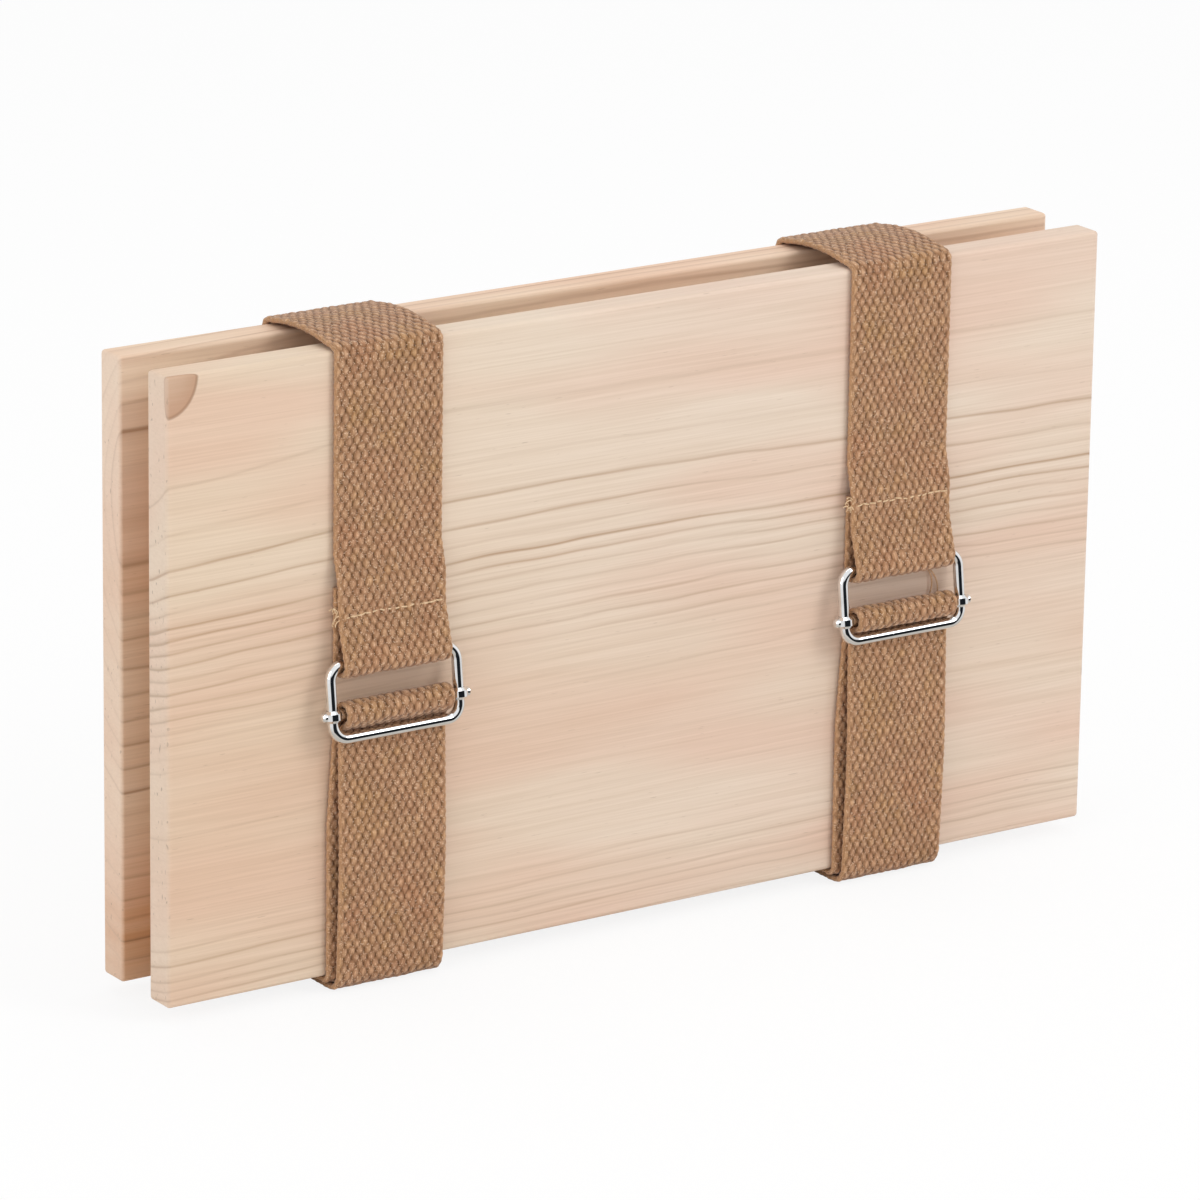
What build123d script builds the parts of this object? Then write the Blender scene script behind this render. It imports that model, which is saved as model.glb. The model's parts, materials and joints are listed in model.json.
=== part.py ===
from build123d import *
from math import asin, atan2, cos, degrees, hypot, pi, sin, sqrt
import os

# A flower press: two pine boards squeeze a stack of corrugated cards and blotting papers.
# Two webbing straps go round it, each drawn tight through a wire slider buckle.
# X runs along the boards, Y from the front board to the back one and Z up.
# The press stands on the two straps that run under it, with the origin at the middle there.

# Boards
board_length = 280.0
board_height = 160.0
board_thickness = 9.0
board_edge_radius = 1.0

# Sheets between the boards
card_count = 5
card_thickness = 2.0
card_liner = 0.35
card_flute_pitch = 8.0
card_flute_wall = 0.3
card_flute_crest = 1.6
blotters_between_cards = 2
blotter_thickness = 0.4
sheet_end_margin = 12.0
sheet_edge_margin = 7.0

# Webbing straps
webbing_width = 31.2
webbing_thickness = 1.9
strap_spacing = 154.0
strap_offset = -1.0
layer_clearance = 0.2
board_clearance = 0.15
sewn_lap = 19.0
stitch_rise = 13.5
tail_up_the_back = 48.0
step_length = 9.0
step_bend_radius = 4.0
stitch_bend_radius = 15.0
slack_bow = 1.0
slack_bow_radius = 250.0
slack_bow_share_of_run = 0.5
top_bow = 1.6
top_bow_roundness = 0.85

# Wire buckles
wire_diameter = 2.8
buckle_pitch = 18.4
buckle_height_on_board = 81.7
buckle_corner_radius = 3.8
wire_clearance = 0.35
strands_gap_at_buckle = 0.45

# Slider bars, one in each buckle
bar_diameter = 2.8
bar_clearance = 0.2
bar_running_clearance = 0.08
bar_bead_wall = 0.87
bar_bead_height = 3.0
bar_bead_chamfer = 0.7
bar_tip_radius = 1.2
bar_tip_rise = 0.8
bar_tip_chamfer = 0.45
bar_edge_clearance = 0.35
bar_free_gap = {"left": 0.8, "right": 0.1}

# Places that follow from the sizes
layer = webbing_thickness + layer_clearance
inner_layer = board_clearance + webbing_thickness / 2
outer_layer = inner_layer + layer
blotter_count = blotters_between_cards * (card_count - 1)
stack_thickness = card_count * card_thickness + blotter_count * blotter_thickness
wire_radius = wire_diameter / 2
bar_radius = bar_diameter / 2
wire_bend = wire_radius + wire_clearance + webbing_thickness / 2
bar_bend = bar_radius + bar_clearance + webbing_thickness / 2
buckle_lean = asin((webbing_thickness + strands_gap_at_buckle) / buckle_pitch)
bead_radius = wire_radius + bar_running_clearance + bar_bead_wall
side_wire = webbing_width / 2 + bar_edge_clearance + bead_radius
bar_rise = {side: wire_bend + bar_bend + gap for side, gap in bar_free_gap.items()}
strap_x = {
    "left": strap_offset - strap_spacing / 2,
    "right": strap_offset + strap_spacing / 2,
}

# Depth of the whole press in front of the front board, and behind the back one
top_wire_reach = board_clearance + webbing_thickness + wire_clearance + wire_radius
bottom_wire_reach = top_wire_reach + buckle_pitch * sin(buckle_lean)
front_reach = (
    bottom_wire_reach
    - min(bar_rise.values()) * sin(buckle_lean)
    + bar_bend
    + webbing_thickness / 2
)
back_reach = outer_layer + webbing_thickness / 2
boards_depth = 2 * board_thickness + stack_thickness

front_y = (front_reach - back_reach - boards_depth) / 2
back_y = front_y + boards_depth
bottom_z = back_reach
top_z = bottom_z + board_height
stack_y = back_y - board_thickness

os.makedirs("parts", exist_ok=True)


def save(piece, name):
    """Labels a finished piece and writes it as a node of its own."""
    piece.part.label = name
    export_step(piece.part, f"parts/{name}.step")


# Boards: planed pine planks with softly rounded edges
board_middle_z = bottom_z + board_height / 2
board_faces = {"front_board": front_y, "back_board": stack_y}
for name, face_y in board_faces.items():
    with BuildPart(Plane((0, face_y + board_thickness / 2, board_middle_z))) as board:
        Box(board_length, board_thickness, board_height)
        fillet(board.edges(), radius=board_edge_radius)
    save(board, name)

# Sheets: cards with a blotter on each face that meets a flower, packed from the back board forwards
sheet_length = board_length - 2 * sheet_end_margin
sheet_height = board_height - 2 * sheet_edge_margin
sheet_bottom = bottom_z + sheet_edge_margin
flute_depth = card_thickness - 2 * card_liner - card_flute_wall
flute_base = card_flute_pitch - card_flute_crest - 2 * card_flute_wall
flute_slope = degrees(atan2(flute_depth, (flute_base - card_flute_crest) / 2))
flute_count = int((sheet_length - flute_base) / card_flute_pitch)
flute_rows = {
    0: (-card_thickness / 2 + card_liner + flute_depth / 2, flute_count),
    180: (card_thickness / 2 - card_liner - flute_depth / 2, flute_count - 1),
}

with BuildPart() as card:
    with BuildSketch():
        Rectangle(sheet_length, card_thickness)
        for turn, (row_y, count) in flute_rows.items():
            with Locations((0, row_y)):
                with GridLocations(card_flute_pitch, 1, count, 1):
                    Trapezoid(
                        flute_base,
                        flute_depth,
                        flute_slope,
                        rotation=turn,
                        mode=Mode.SUBTRACT,
                    )
    extrude(amount=sheet_height)

with BuildPart() as blotter:
    with BuildSketch():
        Rectangle(sheet_length, blotter_thickness)
    extrude(amount=sheet_height)

sheet_order = ["card"]
for _ in range(card_count - 1):
    sheet_order += ["blotter"] * blotters_between_cards + ["card"]

sheet_shapes = {"card": (card, card_thickness), "blotter": (blotter, blotter_thickness)}
sheet_numbers = {"card": 0, "blotter": 0}
sheet_back = stack_y
for kind in sheet_order:
    shape, thickness = sheet_shapes[kind]
    sheet_numbers[kind] += 1
    with BuildPart() as sheet:
        with Locations((0, sheet_back - thickness / 2, sheet_bottom)):
            add(shape.part)
    save(sheet, f"{kind}_{sheet_numbers[kind]}")
    sheet_back -= thickness


# Buckles: wire rings that lean out at the foot, where two strands of webbing pass behind them
top_wire_y = front_y - top_wire_reach
top_wire_z = bottom_z + buckle_height_on_board
bottom_wire_y = front_y - bottom_wire_reach
bottom_wire_z = top_wire_z - buckle_pitch * cos(buckle_lean)
up_the_wires = (0, sin(buckle_lean), cos(buckle_lean))
out_of_the_ring = (0, -cos(buckle_lean), sin(buckle_lean))


def on_ring(x, rise):
    """A point in the plane of a ring, so far up from its bottom wire."""
    y = bottom_wire_y + rise * sin(buckle_lean)
    z = bottom_wire_z + rise * cos(buckle_lean)
    return (x, y, z)


for side, x in strap_x.items():
    ring_plane = Plane(on_ring(x, buckle_pitch / 2), x_dir=(1, 0, 0), z_dir=out_of_the_ring)
    with BuildPart() as buckle:
        with BuildLine(ring_plane) as ring:
            FilletPolyline(
                (side_wire, -buckle_pitch / 2),
                (side_wire, buckle_pitch / 2),
                (-side_wire, buckle_pitch / 2),
                (-side_wire, -buckle_pitch / 2),
                radius=buckle_corner_radius,
                close=True,
            )
        with BuildSketch(Plane(ring.line @ 0, z_dir=ring.line % 0)):
            Circle(wire_radius)
        sweep(path=ring.line)
    save(buckle, f"{side}_buckle")

# Slider bars: a round bar with a drilled bead at each end, which rides on a side wire of its ring
bar_length = 2 * (side_wire + bead_radius + bar_tip_rise)

with BuildPart() as bead:
    Cylinder(bead_radius, bar_bead_height)
    chamfer(bead.edges().filter_by(GeomType.CIRCLE), length=bar_bead_chamfer)

for side, x in strap_x.items():
    bar_plane = Plane(on_ring(x, bar_rise[side]), x_dir=(1, 0, 0), z_dir=up_the_wires)
    with BuildPart(bar_plane) as bar:
        Cylinder(bar_tip_radius, bar_length, rotation=(0, 90, 0))
        chamfer(bar.edges().filter_by(GeomType.CIRCLE), length=bar_tip_chamfer)
        Cylinder(bar_radius, 2 * side_wire, rotation=(0, 90, 0))
        with GridLocations(2 * side_wire, 1, 2, 1):
            add(bead.part)
        with GridLocations(2 * side_wire, 1, 2, 1):
            Cylinder(
                wire_radius + bar_running_clearance,
                2 * bar_bead_height,
                mode=Mode.SUBTRACT,
            )
    save(bar, f"{side}_slider_bar")


# Straps: one length of webbing each, laid like a belt round the edges, wires and bar that it passes.
# A bend is (y, z, radius) of the webbing's middle. The radius is positive where the webbing,
# followed from its sewn end, turns left as seen with Y to the right, and 0 at a cut end.
def straight_run(start, end, shift):
    """The straight stretch from one bend to the next, moved sideways by shift."""
    start_radius = start[2] - shift
    end_radius = end[2] - shift
    across = hypot(end[0] - start[0], end[1] - start[1])
    swing = end_radius - start_radius
    heading = atan2(end[1] - start[1], end[0] - start[0])
    heading -= atan2(swing, sqrt(across**2 - swing**2))
    left = (-sin(heading), cos(heading))
    leave = (start[0] - start_radius * left[0], start[1] - start_radius * left[1])
    arrive = (end[0] - end_radius * left[0], end[1] - end_radius * left[1])
    return leave, arrive


def draw_edge(bends, shift):
    """Draws one face of the webbing as straight runs and arcs, and returns its two ends."""
    runs = [straight_run(*pair, shift) for pair in zip(bends, bends[1:])]
    for run in runs:
        Line(*run)
    for (y, z, radius), before, after in zip(bends[1:], runs, runs[1:]):
        first = atan2(before[1][1] - z, before[1][0] - y)
        turn = atan2(after[0][1] - z, after[0][0] - y) - first
        turn = turn % (2 * pi) if radius > 0 else -(-turn % (2 * pi))
        middle = first + turn / 2
        size = abs(radius - shift)
        halfway = (y + size * cos(middle), z + size * sin(middle))
        ThreePointArc(before[1], halfway, after[0])
    return runs[0][0], runs[-1][1]


front_edge_y = front_y + board_edge_radius
back_edge_y = back_y - board_edge_radius
top_edge_z = top_z - board_edge_radius
bottom_edge_z = bottom_z + board_edge_radius
inner_edge_bend = board_edge_radius + inner_layer
outer_edge_bend = board_edge_radius + outer_layer
sewn_end_z = top_wire_z + sewn_lap
tail_end_z = bottom_z + tail_up_the_back
front_lap_y = front_y - inner_layer - layer
back_lap_y = back_y + inner_layer + layer
bow_y = front_y - outer_layer - slack_bow + slack_bow_radius
bow_z = bottom_z + slack_bow_share_of_run * (bottom_wire_z - bottom_z)
half_top_run = (back_edge_y - front_edge_y) / 2
widest_top_bow = (half_top_run**2 + top_bow**2) / (2 * top_bow)
top_bow_radius = inner_edge_bend + top_bow_roundness * widest_top_bow
top_bow_y = (front_edge_y + back_edge_y) / 2
top_bow_z = top_z + inner_layer + top_bow - top_bow_radius

for side, x in strap_x.items():
    _, bar_y, bar_z = on_ring(x, bar_rise[side])
    route = [
        (front_y - inner_layer, sewn_end_z, 0),
        (top_wire_y, top_wire_z, -wire_bend),
        (front_lap_y - stitch_bend_radius, top_wire_z + stitch_rise, stitch_bend_radius),
        (front_lap_y + step_bend_radius, sewn_end_z, -step_bend_radius),
        (front_y - inner_layer - step_bend_radius, sewn_end_z + step_length, step_bend_radius),
        (front_edge_y, top_edge_z, -inner_edge_bend),
        (top_bow_y, top_bow_z, -top_bow_radius),
        (back_edge_y, top_edge_z, -inner_edge_bend),
        (back_y + inner_layer + step_bend_radius, tail_end_z + step_length, step_bend_radius),
        (back_lap_y - step_bend_radius, tail_end_z, -step_bend_radius),
        (back_edge_y, bottom_edge_z, -outer_edge_bend),
        (front_edge_y, bottom_edge_z, -outer_edge_bend),
        (bow_y, bow_z, -slack_bow_radius),
        (bottom_wire_y, bottom_wire_z, wire_bend),
        (bar_y, bar_z, -bar_bend),
        (front_y - inner_layer - step_bend_radius, bottom_wire_z, -step_bend_radius),
        (front_edge_y, bottom_edge_z, inner_edge_bend),
        (back_edge_y, bottom_edge_z, inner_edge_bend),
        (back_y + inner_layer, tail_end_z, 0),
    ]
    with BuildPart() as strap:
        with BuildSketch(Plane.YZ.offset(x)):
            with BuildLine():
                left_ends = draw_edge(route, webbing_thickness / 2)
                right_ends = draw_edge(route, -webbing_thickness / 2)
                for cut_end in zip(left_ends, right_ends):
                    Line(*cut_end)
            make_face()
        extrude(amount=webbing_width / 2, both=True)
    save(strap, f"{side}_strap")
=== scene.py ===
# %% [markdown]
# # A flower press, dressed
# The press is two pine boards that squeeze a stack of cards and blotting papers. Two webbing
# straps go round it, and each is drawn tight through a wire slider buckle.
# The frame already holds every solid in its place, in metres, so this lesson starts from there:
# the hard pieces keep their solids and get a finish, and the soft straps are woven anew.

# %% Start from the frame
import bmesh
import bpy
import json
import numpy as np
from math import atan2, cos, pi, radians, sin, sqrt
from mathutils import Matrix, Vector

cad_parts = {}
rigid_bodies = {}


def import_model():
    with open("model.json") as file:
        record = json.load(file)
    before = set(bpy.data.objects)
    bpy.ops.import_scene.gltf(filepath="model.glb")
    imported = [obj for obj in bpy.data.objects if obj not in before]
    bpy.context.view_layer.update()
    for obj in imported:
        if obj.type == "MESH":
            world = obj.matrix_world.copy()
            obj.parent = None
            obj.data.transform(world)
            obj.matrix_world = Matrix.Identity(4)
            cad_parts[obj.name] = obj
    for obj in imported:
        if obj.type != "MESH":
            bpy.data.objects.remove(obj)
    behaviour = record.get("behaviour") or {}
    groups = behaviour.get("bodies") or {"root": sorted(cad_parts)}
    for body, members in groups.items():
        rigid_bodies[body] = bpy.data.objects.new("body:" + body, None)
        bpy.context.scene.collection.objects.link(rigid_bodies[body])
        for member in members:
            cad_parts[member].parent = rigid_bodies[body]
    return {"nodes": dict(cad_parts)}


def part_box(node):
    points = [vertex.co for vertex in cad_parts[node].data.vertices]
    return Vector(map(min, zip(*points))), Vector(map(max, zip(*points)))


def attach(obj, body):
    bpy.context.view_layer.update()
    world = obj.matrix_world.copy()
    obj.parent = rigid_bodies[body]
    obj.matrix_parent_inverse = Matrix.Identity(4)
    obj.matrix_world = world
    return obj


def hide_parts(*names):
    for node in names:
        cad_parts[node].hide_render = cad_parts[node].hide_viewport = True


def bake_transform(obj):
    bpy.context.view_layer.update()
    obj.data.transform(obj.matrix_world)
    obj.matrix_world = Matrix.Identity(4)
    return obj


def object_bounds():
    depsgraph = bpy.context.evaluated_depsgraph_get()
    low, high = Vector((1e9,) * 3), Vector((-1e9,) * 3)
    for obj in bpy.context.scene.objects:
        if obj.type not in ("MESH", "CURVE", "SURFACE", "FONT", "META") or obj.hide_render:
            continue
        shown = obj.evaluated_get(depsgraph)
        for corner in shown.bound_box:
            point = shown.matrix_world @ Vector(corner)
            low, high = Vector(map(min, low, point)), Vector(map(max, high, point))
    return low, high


for leftover in list(bpy.data.objects):
    bpy.data.objects.remove(leftover)

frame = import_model()
solid_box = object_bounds()
mm = 0.001
print("the press spans", [round(side / mm, 1) for side in solid_box[1] - solid_box[0]], "mm")

# %% [markdown]
# ## The camera
# The photograph was taken from the left, a little above the boards, with a long lens that keeps
# the boards' edges almost parallel. The place of the camera was worked out from the boards'
# corners. It is turned by a matrix of three directions, because that also holds its slight roll.

# %% Set the camera
camera_place = Vector((-0.9768, -1.4316, 0.6172))
camera_azimuth = radians(-34.16)
camera_elevation = radians(17.13)
camera_roll = radians(0.88)

backwards = Vector((
    sin(camera_azimuth) * cos(camera_elevation),
    -cos(camera_azimuth) * cos(camera_elevation),
    sin(camera_elevation),
))
level_right = Vector((cos(camera_azimuth), sin(camera_azimuth), 0))
level_up = backwards.cross(level_right)
right = level_right * cos(camera_roll) + level_up * sin(camera_roll)
up = level_up * cos(camera_roll) - level_right * sin(camera_roll)


def add_object(name, data):
    """Puts a new object into the scene."""
    item = bpy.data.objects.new(name, data)
    bpy.context.scene.collection.objects.link(item)
    return item


camera_data = bpy.data.cameras.new("camera")
camera_data.sensor_width = 36.0
camera_data.lens = 215.0
camera = add_object("camera", camera_data)
turn = Matrix((right, up, backwards)).transposed().to_4x4()
camera.matrix_world = Matrix.Translation(camera_place) @ turn
bpy.context.scene.camera = camera
print("the camera stands", round(camera_place.length, 2), "m from the press")

# %% [markdown]
# ## A short way to write materials
# A material is a graph of nodes, and most of its lines only make a node, set a few sockets and
# join the rest. One helper does that: a socket given another node's output is linked, and any
# other value is written into it. Sums and noise get names of their own, and find their tree by the
# socket that they work on.

# %% Write the helpers for nodes
def connect(node, inputs):
    """Links or fills the sockets of a node that are given."""
    for key, value in dict(inputs).items():
        if isinstance(value, bpy.types.NodeSocket):
            node.id_data.links.new(value, node.inputs[key])
        else:
            node.inputs[key].default_value = value


def add_node(tree, kind, inputs=(), **settings):
    """Makes a node, applies its settings and connects it."""
    node = tree.nodes.new("ShaderNode" + kind)
    for name, value in settings.items():
        setattr(node, name, value)
    connect(node, inputs)
    return node


def calc(operation, *values):
    """One sum on numbers, the first of them a socket."""
    return add_node(values[0].id_data, "Math", enumerate(values), operation=operation).outputs[0]


def vector_sum(operation, *values):
    """One sum on vectors, the first of them a socket."""
    return add_node(values[0].id_data, "VectorMath", enumerate(values), operation=operation).outputs[0]


def vector_length(vector):
    """How long a vector is."""
    return add_node(vector.id_data, "VectorMath", {0: vector}, operation="LENGTH").outputs["Value"]


def fade(value, none_at, all_at):
    """0 where the value is at none_at, 1 where it is at all_at, with a soft step between."""
    inputs = {"Value": value, "From Min": none_at, "From Max": all_at}
    return add_node(value.id_data, "MapRange", inputs, interpolation_type="SMOOTHSTEP").outputs[0]


def noise(place, scale, detail):
    """Cloudy noise from 0 to 1. A larger scale makes smaller clouds."""
    inputs = {"Vector": place, "Scale": scale, "Detail": detail}
    return add_node(place.id_data, "TexNoise", inputs).outputs["Fac"]


print("helpers for nodes ready")

# %% [markdown]
# Colours are written as a screen shows them and turned linear, which is what shaders take. A ground
# colour is built up like a painting: shaded by a row of stops, tinted, and stained in places. A
# finish is a material with one main shader, and its relief is only shaded, not built.

# %% Write the helpers for colours and finishes
def paint(red, green, blue):
    """The linear colour for one that a screen shows."""
    shares = [part / 255 for part in (red, green, blue)]
    linear = [s / 12.92 if s <= 0.04045 else ((s + 0.055) / 1.055) ** 2.4 for s in shares]
    return (*linear, 1.0)


def grey(level):
    """A grey that stands for a plain number in a row of colour stops."""
    return (level, level, level, 1.0)


def grade(factor, stops):
    """Turns a number from 0 to 1 into a colour, by stops of (place, colour)."""
    node = add_node(factor.id_data, "ValToRGB", {"Fac": factor})
    elements = node.color_ramp.elements
    while len(elements) < len(stops):
        elements.new(1.0)
    for element, (place, colour) in zip(elements, stops):
        element.position = place
        element.color = colour
    return node.outputs["Color"]


def mix(factor, first, second, blend="MIX"):
    """Lays the second colour over the first. On this node colours go in at 6 and 7, and out at 2."""
    socket = factor if isinstance(factor, bpy.types.NodeSocket) else first
    inputs = {0: factor, 6: first, 7: second}
    return add_node(socket.id_data, "Mix", inputs, data_type="RGBA", blend_type=blend).outputs[2]


def tinted(ground, colour):
    """Multiplies a ground by a colour."""
    return mix(1.0, ground, colour, "MULTIPLY")


def stained(ground, colour, share, strength):
    """Lays a colour over a ground by a share from 0 to 1, times a strength."""
    return mix(calc("MULTIPLY", share, strength), ground, colour)


def new_finish(name):
    """An empty material, with its tree and its main shader."""
    finish = bpy.data.materials.new(name)
    finish.use_nodes = True
    return finish, finish.node_tree, finish.node_tree.nodes["Principled BSDF"]


def emboss(shader, height, strength, depth):
    """Shades a surface as if it had these heights."""
    inputs = {"Height": height, "Strength": strength, "Distance": depth}
    connect(shader, {"Normal": add_node(shader.id_data, "Bump", inputs).outputs[0]})


def wear(node, finish):
    """Gives a solid of the frame its finish."""
    for material_slot in frame["nodes"][node].material_slots:
        material_slot.material = finish


print("helpers for colours ready")

# %% [markdown]
# ## Floor
# A studio shot like this one has white all round. To the camera the floor mostly glows, so that it
# stays white and keeps only a faint shadow. Mirror rays pass it by.

# %% Lay the floor
floor_half_width = 4.0
glow_share = 0.86


def mesh_from(shape, name):
    """Turns an edited shape into a mesh."""
    mesh = bpy.data.meshes.new(name)
    shape.to_mesh(mesh)
    shape.free()
    return mesh


shape = bmesh.new()
bmesh.ops.create_grid(shape, x_segments=1, y_segments=1, size=floor_half_width)
floor_mesh = mesh_from(shape, "floor")
floor = add_object("floor", floor_mesh)
floor.visible_glossy = False

floor_finish, tree, shader = new_finish("floor_paper")
connect(shader, {"Base Color": paint(252, 252, 252), "Roughness": 0.9, "Specular IOR Level": 0.0})
path = add_node(tree, "LightPath")
glow = add_node(tree, "Emission", {"Strength": 1.0})
share = calc("MULTIPLY", path.outputs["Is Camera Ray"], glow_share)
both = add_node(tree, "MixShader", {0: share, 1: shader.outputs[0], 2: glow.outputs[0]})
connect(tree.nodes["Material Output"], {"Surface": both.outputs[0]})
floor_mesh.materials.append(floor_finish)
print("floor laid at height 0,", 2 * floor_half_width, "m wide")

# %% [markdown]
# ## Light
# The world gives the even part of the light. Polished wire needs something dark to mirror, or it
# would look like grey paint. So the world shows mirror rays a room, with a pale wall, a duller table
# below, and a dark patch towards the front, where the room behind the photographer would be.

# %% Surround the press
sky_strength = 0.67
white = grey(1.0)
wall_tone = grey(0.95)
wall_angle = radians(10)
table_tone = (0.60, 0.56, 0.50, 1.0)
table_angle = radians(-50)
patch_tone = (0.012, 0.014, 0.017, 1.0)
patch_middle = (radians(5), radians(-6))
patch_half = (radians(34), radians(17))
patch_softness = radians(9)

world = bpy.data.worlds.new("studio")
world.use_nodes = True
bpy.context.scene.world = world
tree = world.node_tree
direction = add_node(tree, "TexCoord").outputs["Generated"]
x, y, z = add_node(tree, "SeparateXYZ", {0: direction}).outputs
round_the_room = calc("ARCTAN2", x, calc("MULTIPLY", y, -1.0))
up_the_wall = calc("ARCSINE", z)
covers = []
for angle, middle, half in zip((round_the_room, up_the_wall), patch_middle, patch_half):
    off = calc("ABSOLUTE", calc("SUBTRACT", angle, middle))
    covers.append(fade(off, half + patch_softness, half))
patch = calc("MULTIPLY", *covers)
table_to_wall = fade(up_the_wall, table_angle, wall_angle)
room = mix(table_to_wall, table_tone, wall_tone)
mirrored = mix(patch, room, patch_tone)

mirror_sky = add_node(tree, "Background", {"Color": mirrored, "Strength": 1.0}).outputs[0]
camera_sky = add_node(tree, "Background", {"Color": white, "Strength": 1.0}).outputs[0]
even_sky = add_node(tree, "Background", {"Color": white, "Strength": sky_strength}).outputs[0]
rays = add_node(tree, "LightPath").outputs
lit = add_node(tree, "MixShader", {0: rays["Is Glossy Ray"], 1: even_sky, 2: mirror_sky}).outputs[0]
shown = add_node(tree, "MixShader", {0: rays["Is Camera Ray"], 1: lit, 2: camera_sky}).outputs[0]
connect(tree.nodes["World Output"], {"Surface": shown})
print("even light:", sky_strength)

# %% [markdown]
# Area lamps, like large soft boxes, give the light a direction, so that the straps throw soft
# shadows. One stands at the front right, one at the left, and one hangs overhead.

# %% Hang the lamps
press_middle = (solid_box[0] + solid_box[1]) / 2


def soft_box(name, place, size, power):
    """A square area lamp that looks at the middle of the press."""
    lamp_data = bpy.data.lights.new(name, "AREA")
    lamp_data.size = size
    lamp_data.energy = power
    lamp = add_object(name, lamp_data)
    aim = (Vector(press_middle) - Vector(place)).to_track_quat("-Z", "Y")
    lamp.matrix_world = Matrix.Translation(place) @ aim.to_matrix().to_4x4()
    return lamp


lamps = [
    soft_box("key_lamp", place=(1.0, -1.5, 1.3), size=0.9, power=11.8),
    soft_box("fill_lamp", place=(-1.7, -0.4, 0.9), size=1.2, power=6.3),
    soft_box("top_lamp", place=(0.1, 0.2, 1.9), size=1.2, power=5.4),
]
print("lamps:", [(lamp.name, round(lamp.data.energy, 1)) for lamp in lamps])

# %% [markdown]
# ## Pine
# A plank is a slice of a trunk, so its growth rings are cylinders round the pith, and one solid
# pattern gives the lines of the faces and the arcs of the end grain together. The trunk lies along
# X. The distance from its pith, bent a little by slow noise, goes through a growth curve that
# counts the rings: wide ones near the pith, then narrow ones.

# %% Write the helpers for wood
def curve_through(value, points):
    """A number looked up on straight lines through points, the first at 0 and the last at 1."""
    node = add_node(value.id_data, "FloatCurve", {"Value": value})
    drawn = node.mapping.curves[0].points
    for place, level in points[1:-1]:
        drawn.new(place, level)
    drawn[0].location = points[0]
    drawn[-1].location = points[-1]
    for point in drawn:
        point.handle_type = "VECTOR"
    node.mapping.update()
    return node.outputs[0]


def long_noise(place, stretch, seed, detail=1.0):
    """Noise whose patches are about that many mm long in X, Y and Z."""
    per_mm = [1 / length for length in stretch]
    return noise(vector_sum("MULTIPLY_ADD", place, per_mm, seed), 1.0, detail)


print("helpers for wood ready")

# %% [markdown]
# Where the count passes a whole number a year ends: the wood darkens slowly up to that line, and is
# pale right after it. The number of the year picks how strong its line is. A line is about as thin
# in a wide ring as in a narrow one, so it is drawn in millimetres: what is left of the count,
# divided by how many rings there are in one millimetre.

# %% Draw the growth rings
line_span = 8.0
line_profile = [
    (0, 0), (0.28, 0.03), (0.39, 0.12), (0.455, 0.45), (0.485, 1),
    (0.51, 0.8), (0.545, 0.08), (0.58, 0), (1, 0),
]
faintest_line = 0.12
line_variety = 0.75


def year_lines(distance, growth, fading, seed):
    """How dark the lines of the years are, from 0 to 1, at a distance from the pith in mm."""
    farthest, most = growth[-1]
    ring_points = [(reach / farthest, rings / most) for reach, rings in growth]
    fade_points = [(reach / farthest, level) for reach, level in fading]

    def rings_within(step):
        reach = calc("MULTIPLY_ADD", distance, 1 / farthest, step / farthest)
        return calc("MULTIPLY", curve_through(reach, ring_points), most)

    count = rings_within(0.0)
    rings_per_mm = calc("SUBTRACT", rings_within(0.5), rings_within(-0.5))
    year = calc("ROUND", count)
    past_line = calc("DIVIDE", calc("SUBTRACT", count, year), rings_per_mm)
    across = calc("MULTIPLY_ADD", past_line, 1 / line_span, 0.5)
    line = curve_through(across, line_profile)
    numbered = calc("ADD", year, seed[0])
    chance = add_node(year.id_data, "TexWhiteNoise", {"W": numbered}, noise_dimensions="1D")
    strength = calc("MULTIPLY_ADD", chance.outputs["Value"], line_variety, faintest_line)
    faded = curve_through(calc("DIVIDE", distance, farthest), fade_points)
    return calc("MULTIPLY", line, calc("MULTIPLY", strength, faded))


print("a line is drawn within", line_span / 2, "mm of where its year ends")

# %% [markdown]
# A trunk is never quite straight, so its rings are bent, slowly along the plank and a little over a
# few centimetres. At the left end the lines also dip, most of all near the top.

# %% Bend the trunk
board_low, board_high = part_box("front_board")
back_low, back_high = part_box("back_board")
board_left = board_low.x / mm
board_front = board_low.y / mm
board_top = board_high.z / mm
slow_bend = 9.0
small_bend = 1.8
dip_low = 3.4
dip_added_at_top = 4.8
dip_begins_right = 90
dip_full_left = -5
top_begins_below = 42
top_full_below = 14


def trunk_bend(place, x, z, seed):
    """How far the rings are bent downwards, in mm."""
    slow = calc("MULTIPLY_ADD", long_noise(place, (160, 90, 90), seed), slow_bend, -slow_bend / 2)
    small = calc("MULTIPLY_ADD", long_noise(place, (28, 14, 10), seed), small_bend, -small_bend / 2)
    left_end = fade(x, board_left + dip_begins_right, board_left + dip_full_left)
    near_top = fade(z, board_top - top_begins_below, board_top - top_full_below)
    dip = calc("MULTIPLY_ADD", near_top, dip_added_at_top, dip_low)
    return calc("MULTIPLY_ADD", left_end, dip, calc("ADD", slow, small))


print("the lines dip by up to", dip_low + dip_added_at_top, "mm")

# %% [markdown]
# Under the lines lie the broad tones: cream that turns pinkish in places, and a browner belt along
# the plank. One corner of the front board just cuts into an older, darker ring, which shows as a
# quarter of an oval with a dark rim.

# %% Colour the wood
rim_at = 0.98
rim_strength = 0.5


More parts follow.
